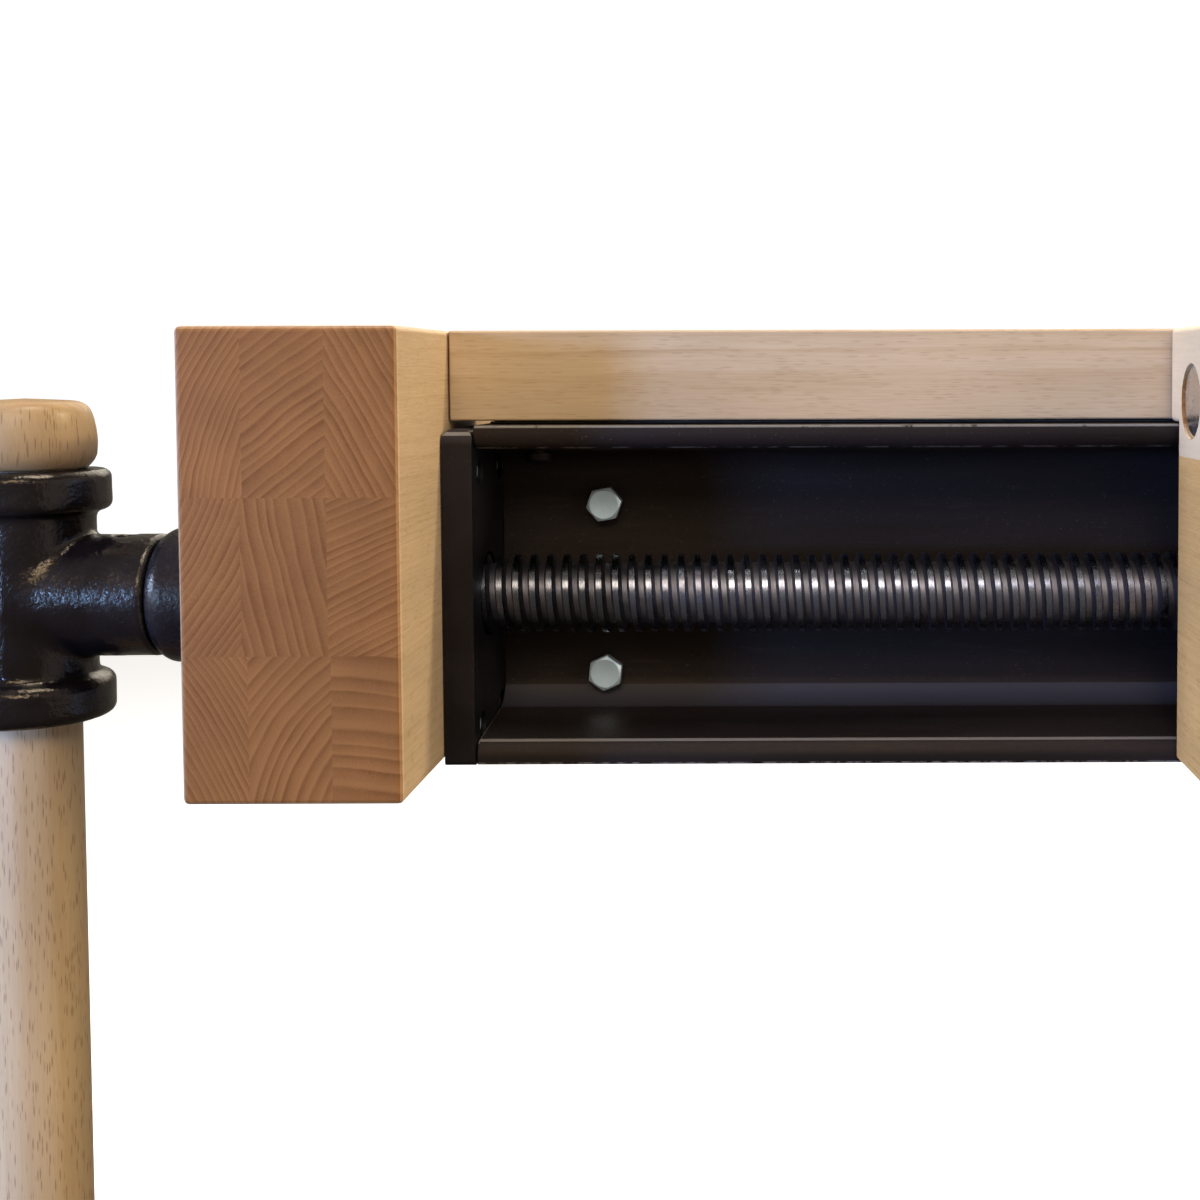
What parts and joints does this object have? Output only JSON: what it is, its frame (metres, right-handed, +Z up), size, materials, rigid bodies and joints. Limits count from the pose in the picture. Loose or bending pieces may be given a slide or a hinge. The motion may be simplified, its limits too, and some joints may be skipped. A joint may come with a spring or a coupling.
{
  "type": "bench vise",
  "caption": "Woodworking front vise: beech jaws on a steel channel guide, closed by a lead screw with a cast tee hub and a sliding wooden bar.",
  "frame": {"origin": "top front edge of the bench, in the upright plane of the lead screw: where the rear jaws' backs, the bench top plane and the screw's mid plane meet", "axes": "+X from the handle into the bench, along the lead screw; +Z up; +Y away from the open side of the channel guide"},
  "size_m": [0.5729, 0.17, 0.3245],
  "materials": {
    "rear_jaw_near": "oiled",
    "rear_jaw_far": "oiled",
    "front_plate": "satin black paint, worn at edges",
    "guide_saddle": "satin black paint, worn at edges",
    "saddle_weld": "bare oiled steel",
    "guide_shoe": "oiled",
    "lead_nut": "machined bronze",
    "nut_screw_1": "zinc plated",
    "nut_screw_2": "zinc plated",
    "shoe_bolt_1": "zinc plated",
    "shoe_bolt_2": "zinc plated",
    "shoe_bolt_3": "zinc plated",
    "shoe_bolt_4": "zinc plated",
    "wear_pad": "satin",
    "coach_screw_near": "zinc plated",
    "coach_screw_far": "zinc plated",
    "jaw_bolt_near": "zinc plated",
    "jaw_bolt_far": "zinc plated",
    "jaw_nut_near": "zinc plated",
    "jaw_nut_far": "zinc plated",
    "front_jaw": "oiled",
    "end_plate": "satin black paint, worn at edges",
    "guide_channel": "satin black paint, worn at edges",
    "top_rail": "oiled",
    "rail_packing": "matte",
    "rail_screw_1": "satin black paint, worn at edges",
    "rail_screw_2": "satin black paint, worn at edges",
    "back_rail": "oiled",
    "web_screw_1": "zinc plated",
    "web_screw_2": "zinc plated",
    "web_screw_3": "zinc plated",
    "web_screw_4": "zinc plated",
    "jaw_screw_1": "zinc plated",
    "jaw_screw_2": "zinc plated",
    "jaw_screw_3": "zinc plated",
    "jaw_screw_4": "zinc plated",
    "thrust_plate": "satin black paint, worn at edges",
    "plate_screw_1": "zinc plated",
    "plate_screw_2": "zinc plated",
    "journal_bush": "machined bronze",
    "rear_stop_plate": "satin black paint, worn at edges",
    "stop_screw_1": "zinc plated",
    "stop_screw_2": "zinc plated",
    "tail_bush": "machined bronze",
    "lead_screw": "bare oiled steel",
    "tee_hub": "glossy black paint",
    "thrust_collar": "glossy black paint",
    "thrust_washer": "machined bronze",
    "hub_pin": "bare oiled steel",
    "retainer_ring": "bare oiled steel",
    "retainer_pin": "bare oiled steel",
    "tommy_bar": "oiled",
    "top_knob": "oiled",
    "bottom_knob": "oiled"
  },
  "bodies": {
    "bench_frame": {"rear_jaw_near": "rear_jaw_near", "rear_jaw_far": "rear_jaw_far", "front_plate": "front_plate", "guide_saddle": "guide_saddle", "saddle_weld": "saddle_weld", "guide_shoe": "guide_shoe", "lead_nut": "lead_nut", "nut_screw_1": "nut_screw_1", "nut_screw_2": "nut_screw_2", "shoe_bolt_1": "shoe_bolt_1", "shoe_bolt_2": "shoe_bolt_2", "shoe_bolt_3": "shoe_bolt_3", "shoe_bolt_4": "shoe_bolt_4", "wear_pad": "wear_pad", "coach_screw_near": "coach_screw_near", "coach_screw_far": "coach_screw_far", "jaw_bolt_near": "jaw_bolt_near", "jaw_bolt_far": "jaw_bolt_far", "jaw_nut_near": "jaw_nut_near", "jaw_nut_far": "jaw_nut_far"},
    "carriage": {"front_jaw": "front_jaw", "end_plate": "end_plate", "guide_channel": "guide_channel", "top_rail": "top_rail", "rail_packing": "rail_packing", "rail_screw_1": "rail_screw_1", "rail_screw_2": "rail_screw_2", "back_rail": "back_rail", "web_screw_1": "web_screw_1", "web_screw_2": "web_screw_2", "web_screw_3": "web_screw_3", "web_screw_4": "web_screw_4", "jaw_screw_1": "jaw_screw_1", "jaw_screw_2": "jaw_screw_2", "jaw_screw_3": "jaw_screw_3", "jaw_screw_4": "jaw_screw_4", "thrust_plate": "thrust_plate", "plate_screw_1": "plate_screw_1", "plate_screw_2": "plate_screw_2", "journal_bush": "journal_bush", "rear_stop_plate": "rear_stop_plate", "stop_screw_1": "stop_screw_1", "stop_screw_2": "stop_screw_2", "tail_bush": "tail_bush"},
    "screw": {"lead_screw": "lead_screw", "tee_hub": "tee_hub", "thrust_collar": "thrust_collar", "thrust_washer": "thrust_washer", "hub_pin": "hub_pin", "retainer_ring": "retainer_ring", "retainer_pin": "retainer_pin"},
    "bar": {"tommy_bar": "tommy_bar", "top_knob": "top_knob", "bottom_knob": "bottom_knob"}
  },
  "joints": [
    {"name": "jaw_slide", "type": "slide", "parent": "bench_frame", "child": "carriage", "axis": [1, 0, 0], "range_m": [0, 0.2146]},
    {"name": "screw_turn", "type": "hinge", "parent": "carriage", "child": "screw", "pos_m": [0, 0, -0.0803], "axis": [1, 0, 0], "range_deg": [0, 15444]},
    {"name": "bar_slide", "type": "slide", "parent": "screw", "child": "bar", "axis": [0, 0, 1], "range_m": [0, 0.183]}
  ],
  "couplings": [
    {"joint": "jaw_slide", "follows": "screw_turn", "m_per_rad": 0.00079577}
  ]
}
